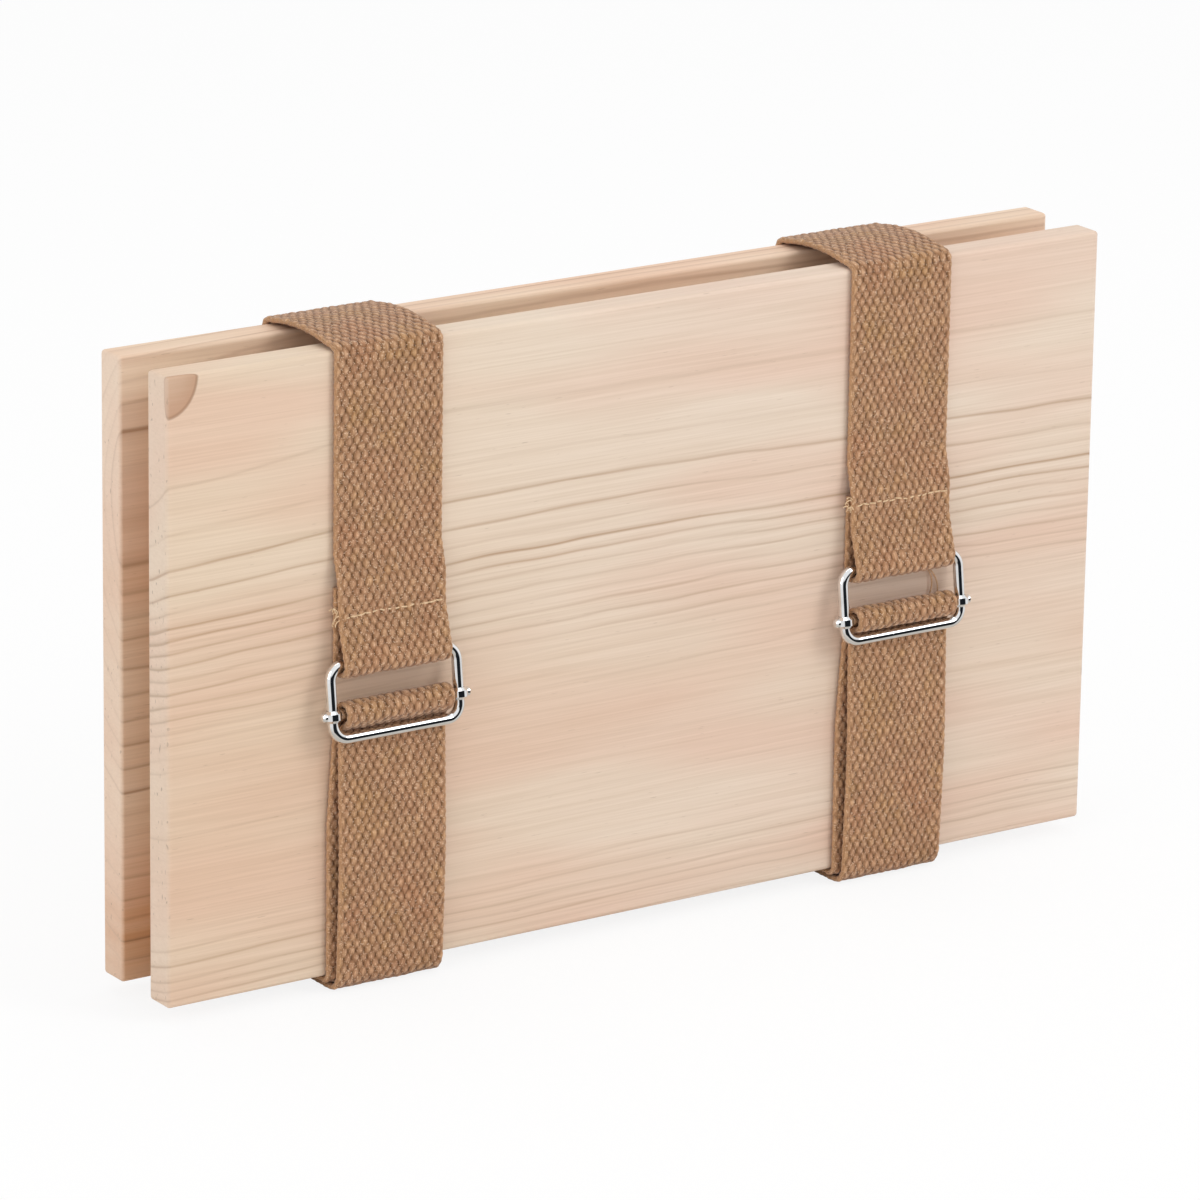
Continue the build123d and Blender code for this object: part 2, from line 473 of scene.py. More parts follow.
def broad_tones(place, height, belt, belt_colour, seed):
    """Cream wood with a belt, given as (height in mm, share) from low to high."""
    cloudy = long_noise(place, (120, 40, 26), seed, 2.0)
    cream = mix(cloudy, paint(240, 224, 207), paint(236, 214, 193))
    pinkish = long_noise(place, (80, 30, 20), seed)
    blush = grade(pinkish, [(0.40, paint(255, 255, 252)), (0.66, paint(253, 241, 236))])
    belt_points = [(level / board_top, share) for level, share in belt]
    share = curve_through(calc("DIVIDE", height, board_top), belt_points)
    streaky = long_noise(place, (60, 20, 5), seed, 2.0)
    streaks = grade(streaky, [(0.30, grey(0.55)), (0.70, grey(1.0))])
    return stained(tinted(cream, blush), belt_colour, share, streaks)


def dark_corner(place, wood, radii):
    """Darkens the top left corner of the front board, within radii in mm along X, Y and Z."""
    off_corner = vector_sum("SUBTRACT", place, (board_left, board_front, board_top))
    reach = vector_length(vector_sum("DIVIDE", off_corner, radii))
    inside = fade(reach, 1.03, 0.95)
    tone = calc("MULTIPLY_ADD", fade(reach, 0.2, 1.0), 0.25, 0.5)
    wood = stained(wood, paint(190, 146, 116), inside, tone)
    off_rim = calc("ABSOLUTE", calc("SUBTRACT", reach, rim_at))
    rim = fade(off_rim, 0.07, 0.01)
    return stained(wood, paint(150, 112, 84), rim, rim_strength)


print("tones ready")

# %% [markdown]
# The last layers are fine: fibres and short resin dashes along the grain, and at the ends of the
# plank, where the faces look along X, small dark pores and a paler colour that is painted light.
# Each board is also tinted from its left to its right. The lines lie a little deeper than the rest.

# %% Mix the pine
dash_strength = 0.32
painted_end_light = 0.40
pore_strength = 0.5
tint_reach = 170
smoothest_wood = 0.52
fibre_roughness = 0.18


def pine(
    name, pith, growth, fading, end_lines, late_wood, belt, belt_colour, tints, seed, corner_radii=None,
):
    """Pine round a pith at (y, z) in mm. Lines are end_lines times as strong on the end grain."""
    finish, tree, shader = new_finish(name)
    coords = add_node(tree, "TexCoord").outputs
    place = vector_sum("MULTIPLY", coords["Object"], [1 / mm] * 3)
    x, y, z = add_node(tree, "SeparateXYZ", {0: place}).outputs
    facing = add_node(tree, "SeparateXYZ", {0: coords["Normal"]})
    end_grain = calc("ABSOLUTE", facing.outputs["X"])

    height = calc("ADD", z, trunk_bend(place, x, z, seed))
    aside = calc("SUBTRACT", y, pith[0])
    rise = calc("SUBTRACT", height, pith[1])
    off_pith = add_node(tree, "CombineXYZ", {"Y": aside, "Z": rise})
    distance = vector_length(off_pith.outputs[0])
    lines = year_lines(distance, growth, fading, seed)
    patchy = long_noise(place, (70, 30, 10), seed)
    along_line = grade(patchy, [(0.32, grey(0.45)), (0.60, grey(1.0))])
    lines = calc("MULTIPLY", lines, along_line)
    at_end = calc("MULTIPLY_ADD", end_grain, end_lines - 1, 1.0)
    lines = calc("MINIMUM", calc("MULTIPLY", lines, at_end), 1.0)

    wood = broad_tones(place, height, belt, belt_colour, seed)
    late = mix(long_noise(place, (60, 20, 6), seed), *late_wood)
    wood = mix(lines, wood, late)
    fibres = long_noise(place, (40, 1.2, 0.5), seed, 3.0)
    wood = tinted(wood, grade(fibres, [(0.30, paint(245, 242, 238)), (0.66, grey(1.0))]))
    dashes = fade(long_noise(place, (5, 0.7, 0.40), seed), 0.73, 0.80)
    wood = stained(wood, paint(150, 116, 88), dashes, dash_strength)
    if corner_radii:
        wood = dark_corner(place, wood, corner_radii)
    # painted light: the end grain faces are painted paler than the long faces
    wood = stained(wood, paint(238, 222, 209), end_grain, painted_end_light)
    pores = fade(long_noise(place, (6, 0.8, 2.0), seed), 0.69, 0.75)
    pores = calc("MULTIPLY", pores, end_grain)
    wood = stained(wood, paint(150, 126, 110), pores, pore_strength)
    left_to_right = fade(x, board_left, board_left + tint_reach)
    wood = tinted(wood, mix(left_to_right, *tints))
    rough = calc("MULTIPLY_ADD", fibres, fibre_roughness, smoothest_wood)
    connect(shader, {"Base Color": wood, "Roughness": rough, "Specular IOR Level": 0.3})
    emboss(shader, calc("SUBTRACT", fibres, lines), strength=0.10, depth=0.1 * mm)
    return finish


print("pine ready, tinted over", tint_reach, "mm")

# %% [markdown]
# The front board was cut in front of a pith that lies high up, so its rings are wide at the top and
# crowd together in the middle. The back board is browner low down, and its lines are darker.

# %% Cut the boards
front_pine = pine(
    "front_pine",
    pith=(board_front + 27, board_top - 3),
    growth=[
        (0, 0), (33, 1), (42.6, 2), (49.9, 3), (55.6, 4), (59.5, 5), (63.1, 6),
        (68.5, 8), (96, 17), (130, 23), (150, 28), (162, 33), (200, 45),
    ],
    fading=[
        (0, 0.3), (30, 0.3), (44, 0.6), (54, 1.1), (66, 1.1), (78, 0.6),
        (87, 0.32), (104, 0.22), (132, 0.26), (148, 0.6), (200, 0.7),
    ],
    end_lines=2.4,
    late_wood=(paint(192, 152, 119), paint(172, 142, 108)),
    belt=[
        (0, 0.08), (25, 0.10), (36, 0.22), (52, 0.42),
        (66, 0.42), (84, 0.20), (105, 0.12), (board_top, 0.0),
    ],
    belt_colour=paint(226, 196, 169),
    tints=(paint(249, 246, 242), paint(250, 251, 255)),
    seed=(3.1, 7.7, 1.4),
    corner_radii=(8.8, 1.0, 10.4),
)
back_pine = pine(
    "back_pine",
    pith=(back_low.y / mm - 46, board_top - 30),
    growth=[(0, 0), (40, 6), (60, 12), (90, 18), (130, 26), (200, 44)],
    fading=[(0, 1.2), (200, 1.2)],
    end_lines=0.5,
    late_wood=(paint(162, 116, 80), paint(144, 104, 72)),
    belt=[(0, 1.0), (22, 0.95), (34, 0.55), (48, 0.30), (110, 0.45), (135, 0.25), (board_top, 0.0)],
    belt_colour=paint(212, 160, 117),
    tints=[paint(255, 251, 247)] * 2,
    seed=(11.3, 2.9, 8.6),
)
wear("front_board", front_pine)
wear("back_board", back_pine)
print("boards", round((board_high.x - board_low.x) / mm), "mm long in pine")

# %% [markdown]
# ## Plated wire
# The rings and their slider bars are bent from round steel wire and nickel plated. The solids
# already have every bend, so only the finish is missing: a metal that is almost a mirror, with
# the faint clouding and fine rub marks of use.

# %% Plate the wire
cloud_scale = 260.0
rub_scale = (300, 2400, 2400)
smoothest_plate = 0.02
rub_roughness = 0.08

wire_finish, tree, shader = new_finish("nickel_plate")
place = add_node(tree, "TexCoord").outputs["Object"]
cloud = noise(place, cloud_scale, 3.0)
plate = grade(cloud, [(0.3, paint(226, 227, 228)), (0.7, paint(240, 241, 243))])
rubs = noise(vector_sum("MULTIPLY", place, rub_scale), 1.0, 2.0)
polish = calc("MULTIPLY_ADD", rubs, rub_roughness, smoothest_plate)
connect(shader, {"Base Color": plate, "Roughness": polish, "Metallic": 1.0})

sides = ("left", "right")
for side in sides:
    wear(f"{side}_buckle", wire_finish)
    wear(f"{side}_slider_bar", wire_finish)
print("plated", 2 * len(sides), "pieces of wire")

# %% [markdown]
# ## Cards and blotting papers
# The cards are kraft board with a fluted core, and the blotters are soft unsized paper. Both show
# only at the edges of the stack. Kraft is brown with long fibres and darker specks, and blotting
# paper is off-white, felted and cloudy.

# %% Colour the sheets
fibre_scale = (350, 2600, 1500)


def paper(name, light, dark, speck, cloud_scale, speck_strength):
    """A matt paper: a cloudy ground with fine specks."""
    finish, tree, shader = new_finish(name)
    place = add_node(tree, "TexCoord").outputs["Object"]
    ground = grade(noise(place, cloud_scale, 4.0), [(0.3, light), (0.7, dark)])
    fibres = noise(vector_sum("MULTIPLY", place, fibre_scale), 1.0, 2.0)
    specks = grade(fibres, [(0.62, grey(0.0)), (0.72, grey(1.0))])
    speckled = stained(ground, speck, specks, speck_strength)
    connect(shader, {"Base Color": speckled, "Roughness": 0.92})
    emboss(shader, fibres, strength=0.25, depth=0.1 * mm)
    return finish


kraft = paper(
    "kraft_card", paint(196, 158, 116), paint(178, 138, 96), paint(122, 88, 56),
    cloud_scale=120.0, speck_strength=0.5,
)
felted = paper(
    "blotting_paper", paint(242, 237, 226), paint(230, 223, 208), paint(206, 196, 178),
    cloud_scale=320.0, speck_strength=0.4,
)
sheets = {"card": kraft, "blotter": felted}
for node in frame["nodes"]:
    kind = node.split("_")[0]
    if kind in sheets:
        wear(node, sheets[kind])
print("sheets coloured:", sorted(finish.name for finish in sheets.values()))

# %% [markdown]
# ## The webbing's route
# Each strap is one length of webbing. It starts at its sewn end, goes round the ring's top wire,
# over the boards, down the back and under them, up behind the bottom wire, over the slider bar,
# down again behind both, and under the boards to a tail at the back. That is a belt laid round
# pulleys: straight runs that touch round bends. A bend is (y, z, radius) of the webbing's middle,
# positive where the webbing turns left as seen with Y to the right. The wires, the bar and the
# boards are read from the frame, so the belt fits what it goes round.

# %% List the bends of a strap
webbing_thickness = 1.9 * mm
board_clearance = 0.15 * mm
layer_clearance = 0.2 * mm
wire_clearance = 0.35 * mm
bar_clearance = 0.2 * mm
wire_radius = 1.4 * mm
bar_radius = 1.4 * mm
board_edge_radius = 1.0 * mm
sewn_lap = 19.0 * mm
stitch_rise = 13.5 * mm
tail_up_the_back = 48.0 * mm
step_length = 9.0 * mm
step_bend = 4.0 * mm
stitch_bend = 15.0 * mm
slack_bow = 1.0 * mm
slack_bow_radius = 250.0 * mm
top_bow = 1.6 * mm
top_bow_roundness = 0.85

layer = webbing_thickness + layer_clearance
inner_layer = board_clearance + webbing_thickness / 2
outer_layer = inner_layer + layer
wire_bend = wire_radius + wire_clearance + webbing_thickness / 2
bar_bend = bar_radius + bar_clearance + webbing_thickness / 2
inner_edge_bend = board_edge_radius + inner_layer
outer_edge_bend = board_edge_radius + outer_layer
front_y = board_low.y
back_y = back_high.y
bottom_z = board_low.z
top_z = board_high.z
front_edge_y = front_y + board_edge_radius
back_edge_y = back_y - board_edge_radius
top_edge_z = top_z - board_edge_radius
bottom_edge_z = bottom_z + board_edge_radius
tail_end_z = bottom_z + tail_up_the_back
half_top_run = (back_edge_y - front_edge_y) / 2
widest_top_bow = (half_top_run**2 + top_bow**2) / (2 * top_bow)
top_bow_radius = inner_edge_bend + top_bow_roundness * widest_top_bow
top_bow_y = (front_edge_y + back_edge_y) / 2
top_bow_z = top_z + inner_layer + top_bow - top_bow_radius


def wires(side):
    """The middles of a ring's top wire, its bottom wire and its slider bar, as (y, z)."""
    ring_low, ring_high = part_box(f"{side}_buckle")
    bar_low, bar_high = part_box(f"{side}_slider_bar")
    bar_middle = (bar_low + bar_high) / 2
    top_wire = (ring_high.y - wire_radius, ring_high.z - wire_radius)
    bottom_wire = (ring_low.y + wire_radius, ring_low.z + wire_radius)
    return top_wire, bottom_wire, (bar_middle.y, bar_middle.z)


def strap_bends(side):
    """The bends that one strap goes round, from its sewn end to its tail."""
    top_wire, bottom_wire, bar = wires(side)
    sewn_end_z = top_wire[1] + sewn_lap
    front_lap_y = front_y - outer_layer
    back_lap_y = back_y + outer_layer
    step_y = front_y - inner_layer - step_bend
    bow_y = front_y - outer_layer - slack_bow + slack_bow_radius
    return [
        (front_y - inner_layer, sewn_end_z, 0),
        (*top_wire, -wire_bend),
        (front_lap_y - stitch_bend, top_wire[1] + stitch_rise, stitch_bend),
        (front_lap_y + step_bend, sewn_end_z, -step_bend),
        (step_y, sewn_end_z + step_length, step_bend),
        (front_edge_y, top_edge_z, -inner_edge_bend),
        (top_bow_y, top_bow_z, -top_bow_radius),
        (back_edge_y, top_edge_z, -inner_edge_bend),
        (back_y + inner_layer + step_bend, tail_end_z + step_length, step_bend),
        (back_lap_y - step_bend, tail_end_z, -step_bend),
        (back_edge_y, bottom_edge_z, -outer_edge_bend),
        (front_edge_y, bottom_edge_z, -outer_edge_bend),
        (bow_y, (bottom_z + bottom_wire[1]) / 2, -slack_bow_radius),
        (*bottom_wire, wire_bend),
        (*bar, -bar_bend),
        (step_y, bottom_wire[1], -step_bend),
        (front_edge_y, bottom_edge_z, inner_edge_bend),
        (back_edge_y, bottom_edge_z, inner_edge_bend),
        (back_y + inner_layer, tail_end_z, 0),
    ]


print("bends on each strap:", len(strap_bends("left")))

# %% [markdown]
# A run between two bends touches both, and its heading follows from the two radii. So the route
# becomes a list of stretches, each with a length, a heading and a curvature, and any place along
# it is found from the stretch that holds it. A place may also be lifted off the webbing's middle.

# %% Lay the route
def lay_route(bends):
    """The stretches of a route: where each starts, at which y and z, its heading and curvature."""
    runs = []
    for (y, z, radius), (next_y, next_z, next_radius) in zip(bends, bends[1:]):
        swing = next_radius - radius
        run = sqrt((next_y - y) ** 2 + (next_z - z) ** 2 - swing**2)
        runs.append((run, atan2(next_z - z, next_y - y) - atan2(swing, run), 0.0))
    stretches = runs[:1]
    for (_, _, radius), before, after in zip(bends[1:], runs, runs[1:]):
        turn = ((after[1] - before[1]) * np.sign(radius)) % (2 * pi)
        stretches += [(turn * abs(radius), before[1], 1 / radius), after]
    length, heading, curvature = np.array(stretches).T
    half_turn = curvature * length / 2
    chord = length * np.sinc(half_turn / pi)
    return {
        "start": np.cumsum([0, *length]),
        "y": np.cumsum([bends[0][0], *(chord * np.cos(heading + half_turn))]),
        "z": np.cumsum([bends[0][1], *(chord * np.sin(heading + half_turn))]),
        "heading": heading,
        "curvature": curvature,
    }


def along_route(route, along, lift):
    """The y and z of places so far along the route, and so far off the webbing's middle."""
    stretch = np.searchsorted(route["start"], along, side="right") - 1
    stretch = np.clip(stretch, 0, len(route["heading"]) - 1)
    run = along - route["start"][stretch]
    half_turn = route["curvature"][stretch] * run / 2
    chord = run * np.sinc(half_turn / pi)
    y = route["y"][stretch] + chord * np.cos(route["heading"][stretch] + half_turn)
    z = route["z"][stretch] + chord * np.sin(route["heading"][stretch] + half_turn)
    heading = route["heading"][stretch] + 2 * half_turn
    return y - lift * np.sin(heading), z + lift * np.cos(heading)


routes = {side: lay_route(strap_bends(side)) for side in sides}
for side, route in routes.items():
    print(side, "strap:", round(route["start"][-1] / mm), "mm of webbing")

# %% [markdown]
# ## The weave
# Heavy cotton webbing is a plain weave: each yarn that runs along it passes over one cross yarn
# and under the next, and its neighbour does the opposite. So each face shows rows of plump bumps,
# staggered like bricks. That is two square lattices of bumps, one set half-way between the other,
# and a place belongs to the nearest bump. Distance counts less across than along, which makes the
# bumps broad where they meet. Real yarns wander, so places drift by slow random waves first. The
# bumps on the other face lie between those on this one, one yarn further.

# %% Weave the height of a face
webbing_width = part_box("left_strap")[1].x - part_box("left_strap")[0].x
yarns_across = 27
yarn_pitch = webbing_width / yarns_across
cross_pitch = 2.0 * mm
weave_depth = 0.50 * mm
breadth = 0.68
plumpness = 0.7
deepest = ((1 + breadth) / 2) ** 2
selvedge = 1.25 * mm
shortest_wave = 3.5
longest_wave = 14


def drift(across, along, seed, waves=14):
    """Slow random waves over the webbing, about 1 high."""
    whims = np.random.default_rng(seed)
    total = np.zeros(len(across))
    for _ in range(waves):
        angle, phase = whims.uniform(0, 2 * pi, 2)
        wave_length = whims.uniform(shortest_wave, longest_wave) * mm
        total += np.sin(2 * pi * (across * cos(angle) + along * sin(angle)) / wave_length + phase)
    return total / sqrt(waves / 2)


def weave(across, along):
    """Height of the yarns, from 0 in a pit to 1 on top of a bump."""
    nearest = np.full(len(across), np.inf)
    for row in (0, 1):
        aside = across / yarn_pitch - row
        ahead = along / cross_pitch - row
        aside -= 2 * np.rint(aside / 2)
        ahead -= 2 * np.rint(ahead / 2)
        nearest = np.minimum(nearest, breadth * aside**2 + ahead**2)
    return np.clip(1 - nearest / deepest, 0, 1) ** plumpness


print("bumps across each face:", yarns_across / 2)

# %% [markdown]
# ## Cotton
# The finish works out the same bumps from the same places, which are kept on the mesh as an
# attribute, so that it is as crisp as the picture needs. Each row of bumps is a lattice of cells:
# the whole part of a place says which bump it is, and the rest how far it is from its middle.

# %% Find the bumps again
def yarn_bumps(place):
    """The height of the bumps, from 0 to 1, and a random tone for each one."""
    bumps_per_mm = (mm / yarn_pitch / 2, mm / cross_pitch / 2, 1)
    aside = sqrt(breadth)
    distances = []
    tones = []
    for row in (0, 1):
        cell_shift = (0.5 - row / 2, 0.5 - row / 2, row)
        cell = vector_sum("MULTIPLY_ADD", place, bumps_per_mm, cell_shift)
        within = vector_sum("FRACTION", cell)
        off = vector_sum("MULTIPLY_ADD", within, (2 * aside, 2, 0), (-aside, -1, 0))
        length = vector_length(off)
        distances.append(calc("MULTIPLY", length, length))
        which = vector_sum("FLOOR", cell)
        chance = add_node(place.id_data, "TexWhiteNoise", {"Vector": which}, noise_dimensions="3D")
        tones.append(chance.outputs["Value"])
    nearest = calc("MINIMUM", *distances)
    nearer = calc("LESS_THAN", *distances)
    tone = calc("MULTIPLY_ADD", nearer, calc("SUBTRACT", *tones), tones[1])
    dome = calc("MAXIMUM", calc("MULTIPLY_ADD", nearest, -1 / deepest, 1.0), 0.0)
    return calc("POWER", dome, plumpness), tone


print("a bump is", round(2 * yarn_pitch / mm, 2), "by", round(2 * cross_pitch / mm, 2), "mm")

# %% [markdown]
# Crests are a light tan, painted lighter still on their tops as painted light, and the flanks darker
# and the pits brown as painted shade. Every bump has a tone of its own, some patches turn olive or
# pinkish, and noise along the yarns gives the fibres of cotton and pale lint. The selvedge is plainer
# and paler.

# %% Dye the cotton, with painted shade in the pits
selvedge_tone = 0.85
cord_strength = 0.7
lint_strength = 0.6
patch_scale = 0.075
patch_hue = 0.95
bump_hue = 0.14
dullest_bump = 0.90
bump_variety = 0.20
fibre_stretch = (3.6, 0.9, 3.6)
speck_scale = 2.6


def cotton(name, painted_pit_shade, flank, crest, top, cord, olive, rosy, lint):
    """Cotton yarn in plump bumps, coloured by their height as painted shade in the pits and painted
    light on top, and by a tone for each.
    """
    finish, tree, shader = new_finish(name)
    edge = add_node(tree, "Attribute", attribute_name="selvedge").outputs["Fac"]
    place = add_node(tree, "Attribute", attribute_name="cloth_place").outputs["Vector"]
    bumps, tone = yarn_bumps(place)
    height = calc("MAXIMUM", bumps, calc("MULTIPLY", edge, selvedge_tone))
    # painted shade: the colour darkens from the crests down into the pits, and the top stop is painted
    # light
    yarn = grade(height, [(0.10, painted_pit_shade), (0.45, flank), (0.80, crest), (1.0, top)])

    patch = noise(place, patch_scale, 2.0)
    hue = calc("MULTIPLY_ADD", tone, bump_hue, calc("MULTIPLY", patch, patch_hue))
    yarn = tinted(yarn, grade(hue, [(0.32, rosy), (0.56, grey(1.0)), (0.80, olive)]))
    yarn = tinted(yarn, calc("MULTIPLY_ADD", tone, bump_variety, dullest_bump))
    yarn = stained(yarn, cord, edge, cord_strength)
    fibres = noise(vector_sum("MULTIPLY", place, fibre_stretch), 1.0, 4.0)
    yarn = tinted(yarn, grade(fibres, [(0.30, paint(206, 196, 186)), (0.66, grey(1.0))]))
    specks = fade(noise(place, speck_scale, 1.0), 0.58, 0.72)
    yarn = stained(yarn, lint, specks, lint_strength)
    connect(shader, {"Base Color": yarn, "Roughness": 0.95})
    connect(shader, {"Specular IOR Level": 0.12, "Sheen Weight": 0.22})
    emboss(shader, fibres, strength=0.6, depth=0.2 * mm)
    return finish


webbing_cotton = cotton(
    "tan_cotton",
    # the pit colour is painted shade and the top colour is painted light
    painted_pit_shade=paint(88, 58, 35),
    flank=paint(150, 112, 81),
    crest=paint(182, 139, 105),
    top=paint(209, 167, 132),
    cord=paint(208, 164, 124),
    olive=paint(250, 250, 230),
    rosy=paint(255, 245, 241),
    lint=paint(236, 206, 176),
)
print("cotton dyed:", webbing_cotton.name)

# %% [markdown]
# ## The straps
# A strap moves with the boards, the ring and the slider bar at once, and a piece can bend between
# two bodies only. So each strap is cut into lengths at the places where the motion changes. Each
# starts as a flat grid, fine enough for the bumps, and is given its thickness. The lengths that
# hardly show get a coarser grid.

# %% Cut a flat strip
fine_grid = (4, 6)
coarse_grid = (3, 4)


def flat_strip(name, begin, end, grid):
    """A flat strip of webbing, along Y from begin to end."""
    points_per_yarn, points_per_cross = grid
    columns = yarns_across * points_per_yarn
    rows = round((end - begin) / cross_pitch * points_per_cross)
    shape = bmesh.new()
    bmesh.ops.create_grid(shape, x_segments=columns, y_segments=rows, size=0.5)
    bmesh.ops.scale(shape, vec=(webbing_width, end - begin, 1), verts=shape.verts)
    bmesh.ops.translate(shape, vec=(0, (begin + end) / 2, 0), verts=shape.verts)
    bmesh.ops.solidify(shape, geom=shape.faces[:], thickness=webbing_thickness)
    bmesh.ops.recalc_face_normals(shape, faces=shape.faces)
    return mesh_from(shape, name)


print("points to a bump:", 2 * fine_grid[0], "by", 2 * fine_grid[1])

# %% [markdown]
# Then every point is carried to its place along the route, lowered by the weave, and thinned at the
# rounded selvedge, which has small scallops. The mesh keeps each point's place on the flat cloth.

# %% Make one length of webbing
sideways_drift = 0.10 * mm
lengthways_drift = 0.18 * mm
usual_plump = 0.86
plump_variety = 0.14
least_plump = 0.55
selvedge_height = 0.8
selvedge_thickness = 0.35
scallop_depth = 0.10 * mm


def webbing(name, side, begin, end, grid, sway):
    """Woven webbing from begin to end of a strap's route, with its sway as places and shifts."""
    mesh = flat_strip(name, begin, end, grid)
    flat = np.zeros(len(mesh.vertices) * 3, np.float32)
    mesh.vertices.foreach_get("co", flat)
    across, along, through = flat.reshape(-1, 3).T.astype(float)
    face = np.where(through > through.mean(), 1.0, -1.0)
    other_face = np.where(face < 0, yarn_pitch, 0)
    yarn_across = across + sideways_drift * drift(across, along, seed=5) + other_face
    yarn_along = along + lengthways_drift * drift(across, along, seed=6)
    plump = np.clip(usual_plump + plump_variety * drift(across, along, seed=7), least_plump, 1)
    outwards = np.clip((np.abs(across) - webbing_width / 2 + selvedge) / selvedge, 0, 1)
    height = np.maximum(plump * weave(yarn_across, yarn_along), selvedge_height * outwards)
    rounding = selvedge_thickness + (1 - selvedge_thickness) * np.sqrt(1 - outwards**2)
    half = webbing_thickness / 2 - weave_depth * (1 - height)
    scallop = scallop_depth * outwards * (1 - np.cos(2 * pi * yarn_along / cross_pitch))
    y, z = along_route(routes[side], along, face * half * rounding)
    strap_low, strap_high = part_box(f"{side}_strap")
    aside = np.interp(along, *sway)
    x = (strap_low.x + strap_high.x) / 2 + aside + across - np.sign(across) * scallop
    mesh.vertices.foreach_set("co", np.stack((x, y, z), axis=1).ravel().astype(np.float32))

    attribute = mesh.attributes.new("selvedge", "FLOAT", "POINT")
    attribute.data.foreach_set("value", outwards.astype(np.float32))
    cloth_place = np.stack((yarn_across, yarn_along, face * mm), axis=1) / mm
    attribute = mesh.attributes.new("cloth_place", "FLOAT_VECTOR", "POINT")
    attribute.data.foreach_set("vector", cloth_place.ravel().astype(np.float32))

    at_cut = np.isclose(along, begin, atol=1e-6) | np.isclose(along, end, atol=1e-6)
    for polygon in mesh.polygons:
        polygon.use_smooth = not all(at_cut[index] for index in polygon.vertices)
    mesh.materials.append(webbing_cotton)
    mesh.update()
    piece = add_object(name, mesh)
    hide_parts(f"{side}_strap")
    return piece


print("webbing", round(webbing_width / mm, 1), "mm wide")

# %% [markdown]
# The bends are counted from the sewn end, which is number 0. The stretches of a route are a run, a
# bend, a run and so on, so a bend's number tells where the webbing reaches it and leaves it.

# %% Find the bends along a route
top_wire_bend = 1
front_top_bend = 5
back_top_bend = 7
front_foot_bend = 11
bottom_wire_bend = 13
step_down_bend = 15
inner_foot_bend = 16


def reach_bend(route, number):
    """How far along its route the webbing reaches a bend."""
    return route["start"][2 * number - 1]


def leave_bend(route, number):
    """How far along its route the webbing leaves a bend."""
    return route["start"][2 * number]


print("the last bend is number", len(strap_bends("left")) - 1)

# %% [markdown]
# The loop that is sewn round the top wire is attached to the front board. The other lengths, over
# the top, down the back, the tail, the rise, the wrap and the fall, stay where they were laid, with
# their places baked into their meshes. The fall lies a little to the left of the rise that covers
# it, so its edge shows.

# %% Hang both straps on the press
parts = ("loop", "top", "back", "rise", "wrap", "fall", "tail")
foot_of_rise = 14.0 * mm
end_of_top = 8.0 * mm
fall_sway = -1.7 * mm
sway_length = 25.0 * mm
strap_pieces = {}

for side in sides:
    route = routes[side]
    fall_begin = reach_bend(route, step_down_bend)
    cuts = [
        0.0,
        reach_bend(route, front_top_bend),
        leave_bend(route, back_top_bend) + end_of_top,
        leave_bend(route, front_foot_bend) + foot_of_rise,
        reach_bend(route, bottom_wire_bend),
        fall_begin,
        reach_bend(route, inner_foot_bend) - foot_of_rise,
        route["start"][-1],
    ]
    sway = [(fall_begin, fall_begin + sway_length), (0.0, fall_sway)]
    for part, begin, end in zip(parts, cuts, cuts[1:]):
        grid = coarse_grid if part in ("back", "tail") else fine_grid
        piece = webbing(f"{side}_strap_{part}", side, begin, end, grid, sway)
        strap_pieces[side, part] = piece
    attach(strap_pieces[side, "loop"], "front_board")
    for part in ("top", "back", "tail"):
        piece = strap_pieces[side, part]
        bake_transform(piece)
    for part in ("rise", "fall"):
        piece = strap_pieces[side, part]
        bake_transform(piece)
    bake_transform(strap_pieces[side, "wrap"])
print("lengths of webbing:", len(strap_pieces))

# %% [markdown]
# ## The seams
# Each loop is closed by one row of stitches in a paler thread, straight across the webbing. A
# stitch is a short arch that comes out of the cloth and goes back in: a small circle of edges,
# spun through a part of a turn about an axis below the cloth, and closed at both ends. Thread is
# twisted from plies, which show as fine light and dark. The seams are sewn in cream, and the
# threads that the webbing sheds have its own tan.

# %% Spin thread
thread_sides = 7
arch_steps = 9
twist_scale = 2600.0


def spin_thread(shape, place, radius, arch, turn):
    """An arch of thread in the XZ plane of a matrix, with its top at the matrix's place."""
    known = set(shape.verts)
    section = Matrix.Translation((0, 0, arch)) @ Matrix.Rotation(pi / 2, 4, "Y")
    ring = bmesh.ops.create_circle(shape, segments=thread_sides, radius=radius, matrix=section)["verts"]
    bmesh.ops.rotate(shape, verts=ring, cent=(0, 0, 0), matrix=Matrix.Rotation(-turn / 2, 3, "Y"))
    edges = list({edge for vert in ring for edge in vert.link_edges})
    bmesh.ops.edgeloop_fill(shape, edges=edges)
    spun = bmesh.ops.spin(
        shape, geom=ring + edges, cent=(0, 0, 0), axis=(0, 1, 0), angle=turn, steps=arch_steps,
    )
    last = [item for item in spun["geom_last"] if isinstance(item, bmesh.types.BMEdge)]
    bmesh.ops.edgeloop_fill(shape, edges=last)
    thread = [vert for vert in shape.verts if vert not in known]
    bmesh.ops.translate(shape, verts=thread, vec=(0, 0, -arch))
    bmesh.ops.transform(shape, verts=thread, matrix=place)


def thread_piece(name, shape, finish):
    """Turns the spun threads into a piece."""
    bmesh.ops.recalc_face_normals(shape, faces=shape.faces)
    mesh = mesh_from(shape, name)
    mesh.shade_smooth()
    mesh.materials.append(finish)
    piece = add_object(name, mesh)
    return piece


def thread_finish(name, dark, light):
    """Twisted thread, with the light and dark of its plies."""
    finish, tree, shader = new_finish(name)
    twist = noise(add_node(tree, "TexCoord").outputs["Object"], twist_scale, 2.0)
    plies = grade(twist, [(0.3, dark), (0.7, light)])
    connect(shader, {"Base Color": plies, "Roughness": 0.8})
    return finish


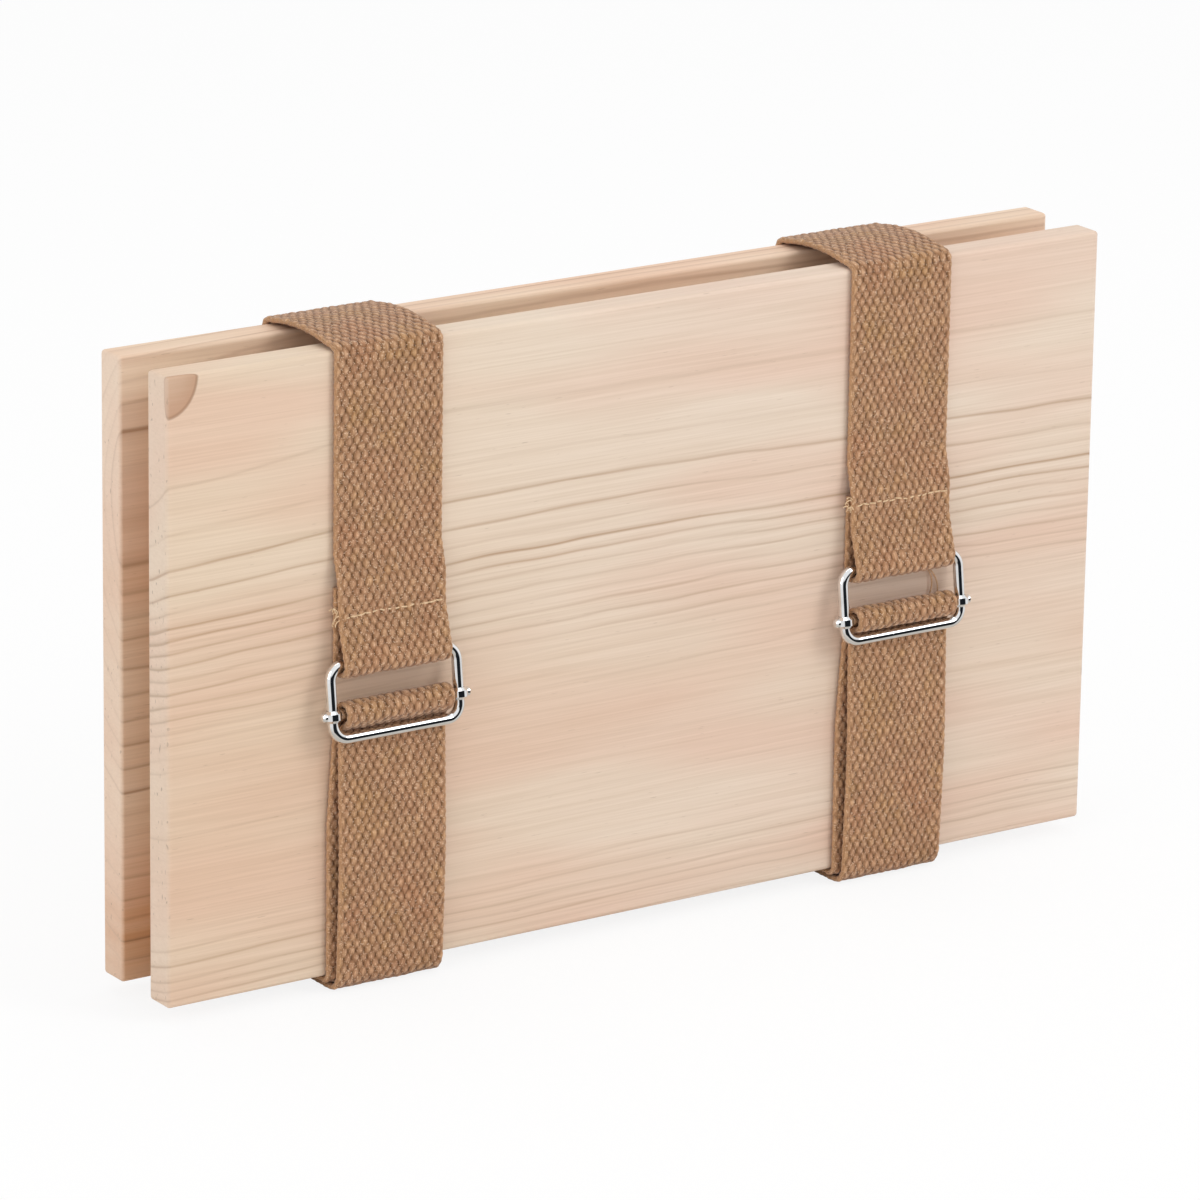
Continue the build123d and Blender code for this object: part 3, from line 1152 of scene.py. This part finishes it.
cream_thread = thread_finish("cream_thread", dark=paint(206, 170, 128), light=paint(240, 214, 178))
tan_thread = thread_finish("tan_thread", dark=paint(190, 148, 112), light=paint(224, 186, 150))
print("threads:", cream_thread.name, "and", tan_thread.name)

# %% [markdown]
# The height of a seam above the top wire is looked up on the strap's route, and the stitches stand
# on the outer face there. Some are pulled deeper into the weave than others. Where a row begins,
# the cut thread frays into a few small loops at the selvedge, and wider arches of the same kind
# make those. The random lengths are in millimetres, and the random angles in radians.

# %% Sew the seams
seam_rise = {"left": 12.0 * mm, "right": 17.0 * mm}
seam_samples = 500
thread_radius = 0.21 * mm
stitch_count = 14
stitch_arch = 1.5 * mm
stitch_turn = radians(84)
deepest_stitch = 0.30
stitch_slant = 0.14
stitch_wander = 0.15
fray_count = 9
fray_radius = 0.14 * mm
fray_spread = ((-1.1, 0.5), (0.4, 2.0), (-1.4, 2.2))
fray_slant = (-1.2, 1.2)
fray_tilt = (-0.6, 0.6)
fray_arch = (0.6, 1.4)
fray_turn = (2.0, 4.2)
outward = Matrix.Rotation(pi / 2, 4, "X")
whims = np.random.default_rng(21)

for side in sides:
    route = routes[side]
    top_wire = wires(side)[0]
    strap_low, strap_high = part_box(f"{side}_strap")
    seam_length = strap_high.x - strap_low.x - 2 * selvedge
    up_the_front = np.linspace(
        leave_bend(route, top_wire_bend), reach_bend(route, front_top_bend), seam_samples,
    )
    heights = along_route(route, up_the_front, 0.0)[1]
    seam_along = np.interp([top_wire[1] + seam_rise[side]], heights, up_the_front)
    seam_y, seam_z = along_route(route, seam_along, webbing_thickness / 2)
    shape = bmesh.new()
    for index in range(stitch_count):
        x = strap_low.x + selvedge + (index + 0.5) * seam_length / stitch_count
        sunk = whims.uniform(0.0, deepest_stitch) * mm
        slant = Matrix.Rotation(whims.normal(0, stitch_slant), 4, "Y")
        z = seam_z[0] + whims.normal(0, stitch_wander) * mm
        spot = Matrix.Translation((x, seam_y[0] + sunk, z))
        spin_thread(shape, spot @ slant @ outward, thread_radius, stitch_arch, stitch_turn)
    for _ in range(fray_count):
        row_start = (strap_low.x, seam_y[0], seam_z[0])
        spot = [start + whims.uniform(*span) * mm for start, span in zip(row_start, fray_spread)]
        slant = Matrix.Rotation(whims.uniform(*fray_slant), 4, "Y")
        tilt = Matrix.Rotation(whims.uniform(*fray_tilt), 4, "X")
        arch = whims.uniform(*fray_arch) * mm
        turn = whims.uniform(*fray_turn)
        spin_thread(shape, Matrix.Translation(spot) @ slant @ tilt, fray_radius, arch, turn)
    seam = thread_piece(f"{side}_seam", shape, cream_thread)
    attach(seam, "front_board")
    print(seam.name, "has", stitch_count, "stitches")

# %% [markdown]
# Cotton sheds threads. Two hang from the right loop, as wide arches, and their ends are hidden
# behind the loop and behind the fold on the slider bar. Each is given by its distance to the right
# of the strap's middle, its slant, its radius and its turn.

# %% Hang the loose threads
loop_foot = wires("right")[0][1] - wire_bend - webbing_thickness / 2
strap_low, strap_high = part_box("right_strap")
strap_middle = (strap_low.x + strap_high.x) / 2
thread_gap = 0.85 * mm
thread_drop = 3.3 * mm
loose_arches = [
    (13.6 * mm, radians(61), 7.5 * mm, 1.25),
    (12.4 * mm, radians(74), 6.0 * mm, 1.5),
]

shape = bmesh.new()
for aside, slant, arch, turn in loose_arches:
    spot = Matrix.Translation((strap_middle + aside, front_y - thread_gap, loop_foot - thread_drop))
    spin_thread(shape, spot @ Matrix.Rotation(slant, 4, "Y"), thread_radius, arch, turn)
loose_threads = thread_piece("right_loose_threads", shape, tan_thread)
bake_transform(loose_threads)
print("loose threads", [round(side / mm, 1) for side in loose_threads.dimensions], "mm")

# %% [markdown]
# ## Last setting
# Colours are shown as they are written, with the standard view transform.

# %% Set the view transform
bpy.context.scene.view_settings.view_transform = "Standard"
